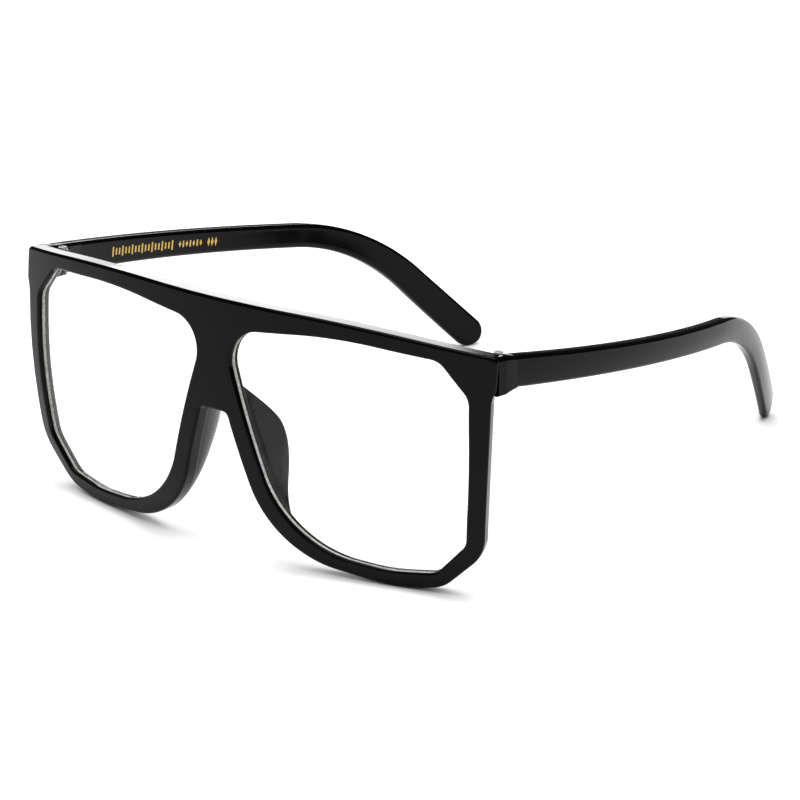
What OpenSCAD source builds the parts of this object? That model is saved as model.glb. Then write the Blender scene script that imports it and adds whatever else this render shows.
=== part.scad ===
// Oversized flat-top glasses with clear lenses.
// The wearer's left is +X and the temples run towards +Y.
// The rims and the temple tips stand on z = 0. Lengths are millimetres, angles degrees.

/* [Lens openings] */
// Width of one lens opening
lens_w = 60.8; // [58:0.2:64]
// Height of one lens opening
lens_h = 55.7; // [51:0.1:58]
// Narrowest gap between the two openings, across the bridge
bridge_w = 10.8; // [9.6:0.2:13]
// Lean of the opening's nose side away from upright
nose_lean = 17.8; // [15:0.1:19]
// Radius of the opening's lower corner beside the nose
nose_r = 26; // [20:0.5:27]
// Radius of the opening's upper corner beside the nose
brow_r = 8; // [5:0.5:9]
// Width of the slanted cut at the opening's outer corners
cut_w = 7.2; // [6:0.1:9]
// Height of the slanted cut at the opening's outer corners
cut_h = 8.2; // [5:0.1:10]
// Radius that softens both ends of each slanted cut
cut_r = 5; // [3:0.1:6]
// How far the opening's upper edge falls from its crown to its ends
crown = 2.1; // [1:0.1:3]

/* [Rims] */
// Height of the rim above an opening
rim_top = 4.4; // [3.8:0.1:6]
// Width of the rim at the outer side
rim_side = 4.7; // [4:0.1:5.4]
// Height of the rim under an opening
rim_bottom = 4.1; // [3.4:0.1:5]
// Width of the rim beside the nose
rim_nose = 5.1; // [4.4:0.05:5.6]
// How much lower the ends of the brow line lie than its middle
brow_drop = 4.05; // [2:0.05:5]
// How far each end of the brow line flares past the rim's side
brow_flare = 1.2; // [0.5:0.1:2.5]
// Height of the bridge from the brow line to the nose arch
bridge_h = 27.2; // [22:0.2:32]
// Radius of the outline's lower corner beside the nose
rim_nose_r = 26; // [20:0.5:27]

/* [Front] */
// Thickness of the front
front_t = 4.2; // [3.8:0.1:5]
// Radius of the bow of the front, seen from above
bow_r = 190; // [170:2:260]
// Radius of the front's curve from brow to chin, seen from the side
chin_r = 166; // [150:2:400]
// Radius of the rounding along the front edges
edge_r = 0.7; // [0.4:0.05:0.8]
// Radius of the rounding along the back edges
back_r = 0.9; // [0.5:0.05:1]

/* [Lenses] */
// Thickness of a lens
lens_t = 2; // [1.6:0.1:2.2]
// Depth of a lens behind the front face
lens_set = 1.1; // [0.9:0.1:1.3]
// Depth of the groove that holds a lens
groove_d = 0.9; // [0.6:0.1:1.2]
// Clearance between a lens and its groove
lens_gap = 0.04; // [0.02:0.01:0.08]

/* [Endpieces and hinges] */
// How far an endpiece reaches back past the front's corner
endpiece_l = 7; // [6.8:0.05:9]
// Gap between an endpiece and its temple
joint_gap = 0.15; // [0.1:0.01:0.25]
// How far the fillet under an endpiece comes down to the back of the rim
notch_h = 0.6; // [0.3:0.1:2]
// Outer radius of the hinge barrel
barrel_r = 1.45; // [1.3:0.05:1.6]
// Length of one hinge knuckle
knuckle_h = 1.2; // [1:0.05:1.3]
// Gap between two hinge knuckles
knuckle_gap = 0.06; // [0.03:0.01:0.1]
// Gap between the hinge barrel and the plastic beside it
barrel_gap = 0.12; // [0.1:0.01:0.2]
// Radius of the hinge screw's shank
screw_r = 0.6; // [0.5:0.05:0.7]
// Running clearance round the hinge screw
screw_gap = 0.03; // [0.02:0.01:0.05]
// Radius of the hinge screw's head
screw_head_r = 1.1; // [0.9:0.05:1.25]
// Height of the hinge screw's head
screw_head_h = 0.7; // [0.5:0.05:0.9]
// Thickness of a hinge plate
plate_t = 0.9; // [0.7:0.05:1]
// How far a hinge plate reaches past its barrel at the top and bottom
plate_rim = 0.15; // [0.1:0.05:0.3]
// Length of the hinge plate in the front
front_plate_l = 4.4; // [4:0.1:4.8]
// Length of the hinge plate in a temple
temple_plate_l = 8.5; // [7:0.1:10]
// Clearance between a hinge plate and its pocket
pocket_gap = 0.05; // [0.03:0.01:0.1]

/* [Temples] */
// Height of a temple at the hinge
temple_h = 7.8; // [7:0.1:8]
// Least height of a temple, in its straight part
temple_waist = 6.4; // [5.5:0.1:7]
// Radius of a temple's rounded tip
tip_r = 4; // [3.3:0.05:4.4]
// Thickness of a temple
temple_t = 4; // [3.6:0.1:4.2]
// Thickness of a temple at its tip
tip_t = 3; // [2.6:0.1:3.6]
// Twist of a temple's tip, which turns its outer face up a little
tip_twist = 8; // [0:0.5:12]
// Length of the straight part of a temple
temple_l = 92.3; // [80:0.1:96]
// Radius of the bend over the ear
ear_r = 62.5; // [50:0.5:75]
// Downward slope of the straight part
temple_slope = 9.2; // [7:0.1:10]
// Downward slope of the part behind the ear
ear_slope = 46.5; // [44:0.5:50]
// How far a temple would run outwards over its length if it stayed straight
temple_splay = 20.8; // [14:0.1:22]
// How far the inward curve of a temple has grown at its tip
temple_curl = 38.3; // [30:0.1:42]
// How much further the inward curve has hooked in at its tip
temple_hook = 3.9; // [0:0.1:8]
// Rounding of a temple's long edges
temple_edge = 1.1; // [0.6:0.1:1.4]
// Crown of a temple's outer face
temple_crown = 0.25; // [0.1:0.05:0.4]
// Radius of the core wire in a temple
wire_r = 0.65; // [0.5:0.05:0.8]
// Clearance round the core wire
wire_gap = 0.05; // [0.03:0.01:0.1]
// Length of temple behind the end of the core wire
wire_short = 20; // [15:1:30]

/* [Nose pads] */
// How far a nose pad stands out behind the rim
pad_d = 9.9; // [7:0.1:10]
// How far a nose pad leans away from the nose
pad_flare = 1.6; // [0:0.1:3]
// Thickness of a nose pad at its root
pad_root = 3.3; // [2.6:0.1:3.5]
// Height of a nose pad's lower end over the table
pad_low = 8; // [7:0.1:10]
// Height of a nose pad's upper end over the nose arch
pad_rise = 7; // [5:0.1:8]
// Thickness of the cement behind the rim
pad_gap = 0.05; // [0.02:0.01:0.1]

/* [Hidden] */
BLACK = "#1b1c1e";
STEEL = "#b9bcc0";
CLEAR = [0.86, 0.9, 0.92, 0.35];

// Driving lines of the front
open_in = bridge_w / 2;
open_out = open_in + lens_w;
open_low = rim_bottom;
open_top = open_low + lens_h;
front_h = open_top + rim_top;
half_w = open_out + rim_side + brow_flare;
side_x = open_out + rim_side;
arch_z = front_h - bridge_h;
// Height at which the front stands upright
level_z = 0.64 * front_h;
// The nose side's straight line, as its place at a height
nose_top = [open_in - 2.8, open_top - 2.8];
function nose_x(z, out = 0) = nose_top.x - out + tan(nose_lean) * (nose_top.y - z);

// Vectors and rounded outlines
function unit(v) = v / norm(v);
function turn2(v, a) = [v.x * cos(a) - v.y * sin(a), v.x * sin(a) + v.y * cos(a)];
// Points of the arc of radius r that rounds corner b between a and c, in n steps
function fillet(a, b, c, r, n) =
    let (u = unit(a - b), v = unit(c - b), half = acos(u * v) / 2)
    let (mid = b + unit(u + v) * r / sin(half), start = b + u * r / tan(half) - mid)
    let (way = u.x * v.y - u.y * v.x > 0 ? -1 : 1)
    [for (k = [0:n]) mid + turn2(start, way * (180 - 2 * half) * k / n)];
// An outline from rows of [corner, radius, steps of its arc, steps of the side after it]
function corner_points(rows, i) =
    let (n = len(rows), row = rows[i])
    row[1] == 0 ? [row[0]]
        : fillet(rows[(i + n - 1) % n][0], row[0], rows[(i + 1) % n][0], row[1], row[2]);
function outline(rows) =
    let (n = len(rows), arcs = [for (i = [0:n - 1]) corner_points(rows, i)])
    [for (i = [0:n - 1])
        let (from = arcs[i][len(arcs[i]) - 1], to = arcs[(i + 1) % n][0], m = rows[i][3])
        each concat(arcs[i], [for (k = [1:1:m - 1]) from + (to - from) * k / m])];

// The opening of the wearer's left lens, as X and height, starting on its upper nose corner
opening_rows = [
    [nose_top, brow_r, 6, 4],
    [[open_in + 0.46 * lens_w, open_top + 0.5], 110, 5, 3],
    [[open_out - 0.2 - cut_w, open_top + 0.4 - crown], cut_r, 2, 1],
    [[open_out - 0.2, open_top + 0.4 - crown - cut_h], cut_r, 2, 3],
    [[open_out + 0.15, open_low + 0.5 * lens_h], 150, 1, 3],
    [[open_out - 1.75, open_low + 1.1 + cut_h], cut_r, 3, 1],
    [[open_out - 2.3 - cut_w, open_low + 1.05], cut_r, 3, 1],
    [[open_in + 0.65 * lens_w, open_low - 0.25], 45, 2, 2],
    [[nose_x(open_low + 2.15), open_low + 2.15], nose_r, 8, 11]];
// The outline of the left half of the front, starting on the brow line at the middle
half_rows = [
    [[0, front_h], 0, 0, 4],
    [[0.527 * half_w, front_h], 300, 5, 3],
    [[half_w, front_h - brow_drop], 1.3, 5, 1],
    [[side_x + 0.88 * brow_flare, 0.816 * front_h], 0, 0, 1],
    [[side_x + 0.36 * brow_flare, 0.79 * front_h], 0, 0, 1],
    [[side_x + 0.1 * brow_flare, 0.765 * front_h], 0, 0, 1],
    [[side_x, 0.547 * front_h], 300, 1, 2],
    [[side_x - 2.4, open_low + cut_h - 0.8], 11, 3, 1],
    [[side_x - 13, 1.5], 10, 3, 1],
    [[0.655 * half_w, -0.42], 36, 2, 2],
    [[nose_x(open_low - 0.4, rim_nose), open_low - 0.4], rim_nose_r, 8, 3],
    [[nose_x(arch_z - 0.2, rim_nose), arch_z - 0.2], 1.6, 3, 2],
    [[0, arch_z], 0, 0, 9]];
opening_all = outline(opening_rows);
stations = len(opening_all);
// Both outlines are walked together: the opening is turned so that its brow meets the middle
inner = [for (i = [0:stations - 1]) opening_all[(i + 6) % stations]];
outer = outline(half_rows);
arch_index = stations - 9;

// Outward direction of a closed outline at one of its points
function outward(p, i) =
    let (n = len(p), t = unit(unit(p[(i + 1) % n] - p[i]) + unit(p[i] - p[(i + n - 1) % n])))
    [-t.y, t.x];
// The middle cut has no rounding of its own, and the brow and arch round straight across it
function outer_normal(i) =
    i == 0 ? [0, 1] : i == arch_index ? [0, -1] : i > arch_index ? [0, 0] : outward(outer, i);

// A point of the front: x along the bowed front face, z up, d behind the face
function bow(x, z, d) =
    let (a = asin(x / bow_r))
    [(bow_r - d) * sin(a), bow_r - (bow_r - d) * cos(a) + pow(z - level_z, 2) / (2 * chin_r), z];
// The section of the rim between outline point p and opening point q
groove_mid = lens_set + lens_t / 2;
function rim_section(p, n, q, m) =
    let (r = edge_r, b = back_r, t = front_t)
    [for (s = concat(
        [for (a = [0:30:90]) [p - n * r * (1 - sin(a)), r * (1 - cos(a))]],
        [for (a = [0:45:90]) [p - n * b * (1 - cos(a)), t - b * (1 - sin(a))]],
        [for (a = [90:-45:0]) [q + m * b * (1 - cos(a)), t - b * (1 - sin(a))]],
        [[q, lens_set + lens_t], [q + m * groove_d, groove_mid], [q, lens_set]],
        [for (a = [90:-30:0]) [q + m * r * (1 - sin(a)), r * (1 - cos(a))]]))
        bow(s[0].x, s[0].y, s[1])];

// Faces of a tube of rings, each of m points, closed on itself or open
function tube_faces(rings, m, closed) =
    [for (i = [0:rings - (closed ? 1 : 2)]) for (j = [0:m - 1])
        let (a = i * m + j, b = i * m + (j + 1) % m, k = ((i + 1) % rings) * m)
        let (c = k + (j + 1) % m, d = k + j)
        each [[a, b, c], [a, c, d]]];
function flip(faces) = [for (f = faces) [f[2], f[1], f[0]]];
function shift(faces, n) = [for (f = faces) [for (k = f) k + n]];
function on_middle(points, f) = max([for (k = f) abs(points[k].x)]) < 0.000001;
// Two triangulated caps for an open tube
function cap(first, m, back) =
    [for (j = [1:m - 2]) back ? [first, first + j + 1, first + j] : [first, first + j, first + j + 1]];
module tube(rings) {
    m = len(rings[0]);
    n = len(rings);
    body = tube_faces(n, m, false);
    polyhedron([for (r = rings) each r], concat(body, cap(0, m, true), cap((n - 1) * m, m, false)));
}

// The whole front without its endpieces: one half and its mirror image, joined on the middle
module rims() {
    rings = [for (i = [0:stations - 1])
        rim_section(outer[i], outer_normal(i), inner[i], outward(inner, i))];
    m = len(rings[0]);
    points = [for (r = rings) each r];
    faces = [for (f = tube_faces(stations, m, true)) if (!on_middle(points, f)) f];
    mirrored = [for (p = points) [-p.x, p.y, p.z]];
    polyhedron(concat(points, mirrored), concat(faces, shift(flip(faces), len(points))));
}

// Places of the joint between an endpiece and its temple
brow_z = front_h - brow_drop;
corner_y = bow(half_w, brow_z, 0).y;
joint_y = corner_y + endpiece_l;
joint_x = half_w + 0.4;
joint_in = joint_x - temple_t;
joint_top = brow_z - 0.95;
joint_low = joint_top - temple_h;
joint_z = (joint_top + joint_low) / 2;

// A rounded rectangle across Y, from corner to corner
function ring_xz(x0, x1, z0, z1, y, r, s) =
    let (corners = [[x1 - r, z1 - r, 0, r], [x0 + s, z1 - s, 90, s],
        [x0 + s, z0 + s, 180, s], [x1 - s, z0 + s, 270, s]])
    [for (c = corners) for (a = [0:30:90])
        [c[0] + c[3] * cos(c[2] + a), y, c[1] + c[3] * sin(c[2] + a)]];
// The block behind a corner of the front that carries the hinge, with its fillet below
module endpiece() {
    start = bow(half_w, brow_z, edge_r);
    back_y = bow(half_w, joint_low, front_t).y;
    ys = concat([start.y], [for (k = [0:6]) back_y + (joint_y - back_y) * pow(k / 6, 1.3)]);
    tube([for (y = ys)
        let (k = (y - start.y) / (joint_y - start.y), f = max(0, (y - back_y) / (joint_y - back_y)))
        ring_xz(joint_in, start.x + (joint_x - start.x) * sqrt(k), joint_low - notch_h * pow(1 - f, 1.7),
            brow_z - 0.02 + (joint_top - brow_z) * k * k, y, 1.2, 0.5)]);
}

// Hinge places: the axis stands beside the temple's inner face, in the joint's plane
axis_x = joint_in - barrel_r - barrel_gap;
knuckles = 5;
pitch = knuckle_h + knuckle_gap;
stack_h = knuckles * pitch - knuckle_gap;
stack_z = joint_z - stack_h / 2;
plate_h = stack_h + 2 * plate_rim;
// The plate in the front lies along the bowed back face, under the axis
plate_a = asin((axis_x - 0.8) / (bow_r - front_t));
plate_spot = bow(bow_r * sin(plate_a), joint_z, front_t + 0.1);
module at_front_plate(grow) {
    translate(plate_spot)
        rotate([0, 0, plate_a])
            translate([-front_plate_l / 2 - grow, -plate_t - grow, -plate_h / 2 - grow])
                cube([front_plate_l + 2 * grow, plate_t + grow + (grow > 0 ? 1.5 : 0), plate_h + 2 * grow]);
}

// Side shape of a temple: where its middle line runs, and how high it is there
arc_turn = ear_slope - temple_slope;
butt = [joint_y + joint_gap, joint_z];
function heading(a) = [cos(a), -sin(a)];
bend_start = butt + temple_l * heading(temple_slope);
bend_mid = bend_start + ear_r * [-sin(temple_slope), -cos(temple_slope)];
function on_bend(a) = bend_mid + ear_r * [sin(a), cos(a)];
bend_end = on_bend(ear_slope);
// The tip's rounding rests on the table
ear_l = (bend_end.y - tip_r) / sin(ear_slope);
bend_l = ear_r * arc_turn * PI / 180;
round_at = temple_l + bend_l + ear_l;
// Middle line at a length s: [y, z, slope]
function mid_line(s) =
    s <= temple_l ? concat(butt + s * heading(temple_slope), temple_slope)
    : s <= temple_l + bend_l
        ? let (a = temple_slope + (s - temple_l) / ear_r * 180 / PI) concat(on_bend(a), a)
        : concat(bend_end + (s - temple_l - bend_l) * heading(ear_slope), ear_slope);
// Half the height at a length s: it narrows to the waist and swells again to the tip
function half_height(s) =
    let (waist = temple_waist / 2, a = temple_h / 2 - waist, b = tip_r - waist)
    s < temple_l ? waist + a * pow(1 - s / temple_l, 2)
    : let (k = (s - temple_l) / (round_at - temple_l))
        waist + b * k * k * (3 - 2 * k);
// Share of the way from the bend to the tip, at a length s
function ear_share(s) = min(1, max(0, (s - temple_l) / (round_at - temple_l)));
function thick_at(s) = temple_t + (tip_t - temple_t) * ear_share(s);
// The temple's outer face, as its X at a place y
bend_run = bend_end.x - bend_start.x;
reach = bend_start.x + bend_run + ear_l * cos(ear_slope);
temple_run = reach - butt.x;
function outer_x(y) =
    let (k = (y - butt.x) / temple_run)
    joint_x + temple_splay * k - temple_curl * k * k - temple_hook * pow(k, 3);

// The section of a temple, round its middle line: half of it is given, and the other half mirrors it
function temple_ring(s, h, t, square) =
    let (m = mid_line(s), up = square ? [0, 1] : [sin(m[2]), cos(m[2])])
    let (e = min(temple_edge, h * 0.6, t * 0.42 - temple_crown / 2))
    let (k = temple_t / 2 - t / 2, twist = tan(tip_twist) * ear_share(s))
    let (half = [
        [0, 0], [h - e, temple_crown], [h - 0.3 * e, temple_crown + 0.3 * e], [h, temple_crown + e],
        [h, t - e], [h - 0.3 * e, t - 0.3 * e], [h - e, t]])
    let (loop = concat(half, [for (i = [6:-1:1]) [-half[i][0], half[i][1]]]))
    [for (p = loop)
        let (w = [m[0], m[1]] + p[0] * up)
        [outer_x(w.x) - k - p[1] + twist * p[0], w.x, w.y]];
// The channel for the core wire, with as many points as the section, at its depth behind the face
wire_x = 1.75;
function wire_ring(s, r) =
    let (m = mid_line(s), up = [sin(m[2]), cos(m[2])])
    [for (i = [0:12])
        let (a = -90 - 360 * i / 13, w = [m[0], m[1]] - r * cos(a) * up)
        [outer_x(w.x) - wire_x - r * sin(a), w.x, w.y]];
body_at = concat([for (k = [0:8]) temple_l * k / 9], [for (k = [0:14]) temple_l + bend_l * k / 14],
    [for (k = [1:3]) temple_l + bend_l + ear_l * k / 3]);
wire_end = round_at - wire_short;
wire_at = concat([for (s = body_at) if (s < wire_end - 3) s], [wire_end]);

module temple_body() {
    tip = [15, 30, 45, 60, 72, 82];
    rings = concat(
        [for (i = [0:len(body_at) - 1])
            temple_ring(body_at[i], half_height(body_at[i]), thick_at(body_at[i]), i == 0)],
        [for (a = tip)
            let (thick = tip_t * (0.45 + 0.55 * sqrt(cos(a))))
            temple_ring(round_at + tip_r * sin(a), tip_r * cos(a), thick, false)]);
    bore = [for (i = [0:len(wire_at) - 1])
        let (ring = wire_ring(wire_at[i], wire_r + wire_gap))
        i == 0 ? [for (p = ring) [p.x, butt.x, p.z]] : ring];
    m = 13;
    n = len(rings);
    b = len(bore);
    rows = concat(rings, bore);
    skin = concat(tube_faces(n, m, false), cap((n - 1) * m, m, false));
    hole = shift(flip(concat(tube_faces(b, m, false), cap((b - 1) * m, m, false))), n * m);
    mouth = [for (j = [0:m - 1])
        let (k = (j + 1) % m, o = n * m)
        each [[j, o + j, o + k], [j, o + k, k]]];
    polyhedron([for (r = rows) each r], concat(skin, hole, mouth));
}

// The plate in a temple lies flush in its inner face
plate_from = 0.9;
module at_temple_plate(grow) {
    m = mid_line(plate_from);
    far = mid_line(plate_from + temple_plate_l);
    x0 = outer_x(m[0]) - temple_t;
    x1 = outer_x(far[0]) - temple_t;
    lean = atan2(x1 - x0, far[0] - m[0]);
    proud = grow > 0 ? 1.5 : 0;
    translate([x0, m[0], m[1]])
        rotate([-temple_slope, 0, -lean])
            translate([-proud, -grow, -plate_h / 2 + 0.2 - grow])
                cube([plate_t + grow + proud, temple_plate_l + 2 * grow, plate_h - 0.4 + 2 * grow]);
}

module knuckle(i) {
    translate([axis_x, joint_y, stack_z + i * pitch])
        cylinder(r = barrel_r, h = knuckle_h, $fn = 64);
}
module screw_hole(r) {
    translate([axis_x, joint_y, stack_z - 1])
        cylinder(r = r, h = stack_h + 2, $fn = 48);
}
module front_leaf() {
    // The arms start inside the plate, behind its hidden side
    foot_y = plate_spot.y + tan(plate_a) * (axis_x + 0.65 * barrel_r - plate_spot.x) - 0.9 * plate_t;
    color(STEEL) difference() {
        union() {
            at_front_plate(0);
            for (i = [0, 2, 4]) {
                knuckle(i);
                // Arm from the plate to the knuckle
                translate([axis_x - barrel_r * 0.8, foot_y, stack_z + i * pitch])
                    cube([barrel_r * 1.45, joint_y - foot_y, knuckle_h]);
            }
        }
        screw_hole(screw_r);
    }
}
module temple_leaf() {
    arm_y = butt.x + plate_from + 0.1 + plate_h / 2 * sin(temple_slope);
    color(STEEL) difference() {
        union() {
            at_temple_plate(0);
            for (i = [1, 3]) {
                knuckle(i);
                // Arm from the knuckle to the plate
                translate([0, 0, stack_z + i * pitch])
                    linear_extrude(height = knuckle_h)
                        polygon([[axis_x - 0.9 * barrel_r, joint_y], [axis_x + barrel_r, joint_y],
                            [axis_x + barrel_r, arm_y], [joint_in + 0.6, arm_y],
                            [joint_in + 0.6, arm_y + 3.6]]);
            }
        }
        screw_hole(screw_r + screw_gap);
    }
}
module hinge_screw() {
    top = stack_z + stack_h;
    color(STEEL) difference() {
        union() {
            translate([axis_x, joint_y, stack_z])
                cylinder(r = screw_r, h = stack_h, $fn = 48);
            translate([axis_x, joint_y, top])
                cylinder(r = screw_head_r, h = screw_head_h, $fn = 48);
        }
        translate([axis_x - screw_head_r - 1, joint_y - 0.15, top + screw_head_h * 0.5])
            cube([2 * screw_head_r + 2, 0.3, screw_head_h]);
    }
}
module core_wire() {
    color("#a98a4a")
        tube([for (i = [0:len(wire_at) - 1])
            let (s = i == 0 ? plate_from : wire_at[i] - (i == len(wire_at) - 1 ? 0.3 : 0))
            wire_ring(s, wire_r)]);
}

// A lens: its faces are rings that shrink towards the middle, and its rim is bevelled
function lens_ring(share, grow, d) =
    let (c = [open_in + lens_w / 2, open_low + lens_h / 2])
    [for (i = [0:stations - 1])
        let (p = c + (inner[i] + outward(inner, i) * grow - c) * share)
        bow(p.x, p.y, d)];
module lens() {
    d0 = lens_set;
    d1 = lens_set + lens_t;
    in = -lens_gap;
    out = groove_d - lens_gap * 2;
    shares = [0.04, 0.3, 0.55, 0.8];
    rows = concat([for (k = shares) lens_ring(k, in, d1)],
        [lens_ring(1, in, d1), lens_ring(1, out, groove_mid), lens_ring(1, in, d0)],
        [for (k = [3:-1:0]) lens_ring(shares[k], in, d0)]);
    color(CLEAR) tube(rows);
}

// A nose pad: sections up the nose side of the rim, each a fin that stands back and leans out
pad_top = arch_z + pad_rise;
// Where the outline leaves its straight nose side for its lower corner
low_arc = corner_points(half_rows, 7);
arc_top = low_arc[len(low_arc) - 1];
pad_steps = 16;
function nose_edge(z) =
    z >= arc_top.y ? nose_x(z, rim_nose)
    : lookup(z, [for (k = [len(low_arc) - 1:-1:0]) [low_arc[k].y, low_arc[k].x]]);
function pad_section(z, k) =
    let (d = pad_d * k, f = pad_flare * k, w = pad_root * (0.45 + 0.55 * k))
    let (x = nose_edge(z) + back_r * 0.5)
    [for (s = [
        [0, 0], [0.04, 0.2], [0.16, 0.45], [0.36, 0.68], [0.62, 0.86], [0.86, 0.96], [1.05, 1],
        [1.22, 0.97], [1.32, 0.86], [1.3, 0.62], [1.14, 0.36], [1.02, 0.14], [1, 0]])
        bow(x + s[0] * w + f * s[1] * 0.62, z, front_t + pad_gap + d * s[1])];
// Share of the full depth that a pad reaches, from its lower end to its upper end
pad_shape = [[0, 0.03], [0.05, 0.16], [0.15, 0.34], [0.25, 0.54], [0.35, 0.73], [0.45, 0.89],
    [0.55, 0.985], [0.62, 1], [0.7, 0.94], [0.8, 0.7], [0.9, 0.37], [1, 0.03]];
module nose_pad() {
    rings = [for (i = [0:pad_steps])
        let (t = 0.5 - 0.5 * cos(180 * i / pad_steps))
        pad_section(pad_low + (pad_top - pad_low) * t, lookup(t, pad_shape))];
    color(BLACK) tube(rings);
}

// Everything is built from the bridge, and stands with its middle over the origin
depth = reach + tip_r;
module placed() { translate([0, -depth / 2, 0]) children(); }
module placed_right() { placed() mirror([1, 0, 0]) children(); }

module frame_front() {
    placed() color(BLACK) difference() {
        union() {
            rims();
            endpiece();
            mirror([1, 0, 0]) endpiece();
        }
        at_front_plate(pocket_gap);
        mirror([1, 0, 0]) at_front_plate(pocket_gap);
    }
}
module temple() {
    color(BLACK) difference() {
        temple_body();
        at_temple_plate(pocket_gap);
    }
}
module lens_left() { placed() lens(); }
module lens_right() { placed_right() lens(); }
module nose_pad_left() { placed() nose_pad(); }
module nose_pad_right() { placed_right() nose_pad(); }
module temple_left() { placed() temple(); }
module temple_right() { placed_right() temple(); }
module core_wire_left() { placed() core_wire(); }
module core_wire_right() { placed_right() core_wire(); }
module hinge_front_leaf_left() { placed() front_leaf(); }
module hinge_front_leaf_right() { placed_right() front_leaf(); }
module hinge_temple_leaf_left() { placed() temple_leaf(); }
module hinge_temple_leaf_right() { placed_right() temple_leaf(); }
module hinge_screw_left() { placed() hinge_screw(); }
module hinge_screw_right() { placed_right() hinge_screw(); }

frame_front();
lens_left();
lens_right();
nose_pad_left();
nose_pad_right();
temple_left();
temple_right();
core_wire_left();
core_wire_right();
hinge_front_leaf_left();
hinge_front_leaf_right();
hinge_temple_leaf_left();
hinge_temple_leaf_right();
hinge_screw_left();
hinge_screw_right();
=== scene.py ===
"""Oversized flat-top glasses with clear lenses: the pieces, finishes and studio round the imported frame."""

import math

import bmesh
import bpy
import numpy as np
from bpy.props import FloatProperty, FloatVectorProperty, PointerProperty
from mathutils import Matrix, Vector


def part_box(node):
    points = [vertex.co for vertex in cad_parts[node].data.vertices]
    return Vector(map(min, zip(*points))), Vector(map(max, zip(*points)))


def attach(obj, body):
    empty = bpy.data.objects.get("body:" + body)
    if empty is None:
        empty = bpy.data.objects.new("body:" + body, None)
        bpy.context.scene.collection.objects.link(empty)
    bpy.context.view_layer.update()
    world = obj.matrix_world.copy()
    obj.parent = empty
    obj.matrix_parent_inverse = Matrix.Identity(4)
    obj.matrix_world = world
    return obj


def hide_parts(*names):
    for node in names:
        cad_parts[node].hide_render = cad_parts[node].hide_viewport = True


bl_info = {
    "name": "Flat-top glasses",
    "version": (1, 0, 0),
    "blender": (4, 5, 0),
    "location": "3D View > Sidebar > Glasses",
    "description": "Builds the front, lenses, temples and finishes of a pair of flat-top glasses",
    "category": "Object",
}

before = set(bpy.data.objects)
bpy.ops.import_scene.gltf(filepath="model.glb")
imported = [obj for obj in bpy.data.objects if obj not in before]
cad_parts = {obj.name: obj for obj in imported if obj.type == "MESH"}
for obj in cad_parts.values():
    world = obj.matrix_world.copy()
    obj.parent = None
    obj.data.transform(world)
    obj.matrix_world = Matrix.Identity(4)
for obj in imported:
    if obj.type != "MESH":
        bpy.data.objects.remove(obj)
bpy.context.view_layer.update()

SIDES = {"left": 1, "right": -1}
MM = 1000.0
TINY = 1e-6
# How far a cutter stands out of the face that it cuts, in millimetres
PROUD = 1.5


# Values and colours

def linear(code):
    """An sRGB hex colour as linear RGBA"""
    parts = [int(code[i:i + 2], 16) / 255 for i in (1, 3, 5)]
    return [c / 12.92 if c <= 0.04045 else ((c + 0.055) / 1.055) ** 2.4 for c in parts] + [1.0]


def length(label, text, value):
    """A length property: its default is in millimetres, and Blender keeps it in metres"""
    return FloatProperty(name=label, description=text, default=value / MM, min=0.0, unit="LENGTH",
                         precision=5)


def turn(label, text, value):
    """An angle property, given in degrees"""
    return FloatProperty(name=label, description=text, default=math.radians(value), unit="ROTATION",
                         precision=4)


def level(label, text, value):
    """A level or a power, from nothing up"""
    return FloatProperty(name=label, description=text, default=value, min=0.0, subtype="UNSIGNED")


def colour(label, text, code):
    """A colour property, given as an sRGB hex value"""
    return FloatVectorProperty(name=label, description=text, size=3, subtype="COLOR", min=0.0, max=1.0,
                               default=linear(code)[:3])


class Sizes:
    """The values of a property group as a formula wants them: millimetres, radians and RGBA"""

    def __init__(self, group):
        for prop in group.bl_rna.properties:
            if prop.type != "FLOAT":
                continue
            value = getattr(group, prop.identifier)
            if prop.unit == "LENGTH":
                value = value * MM
            elif prop.is_array:
                value = [*value, 1.0]
            setattr(self, prop.identifier, value)


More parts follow.
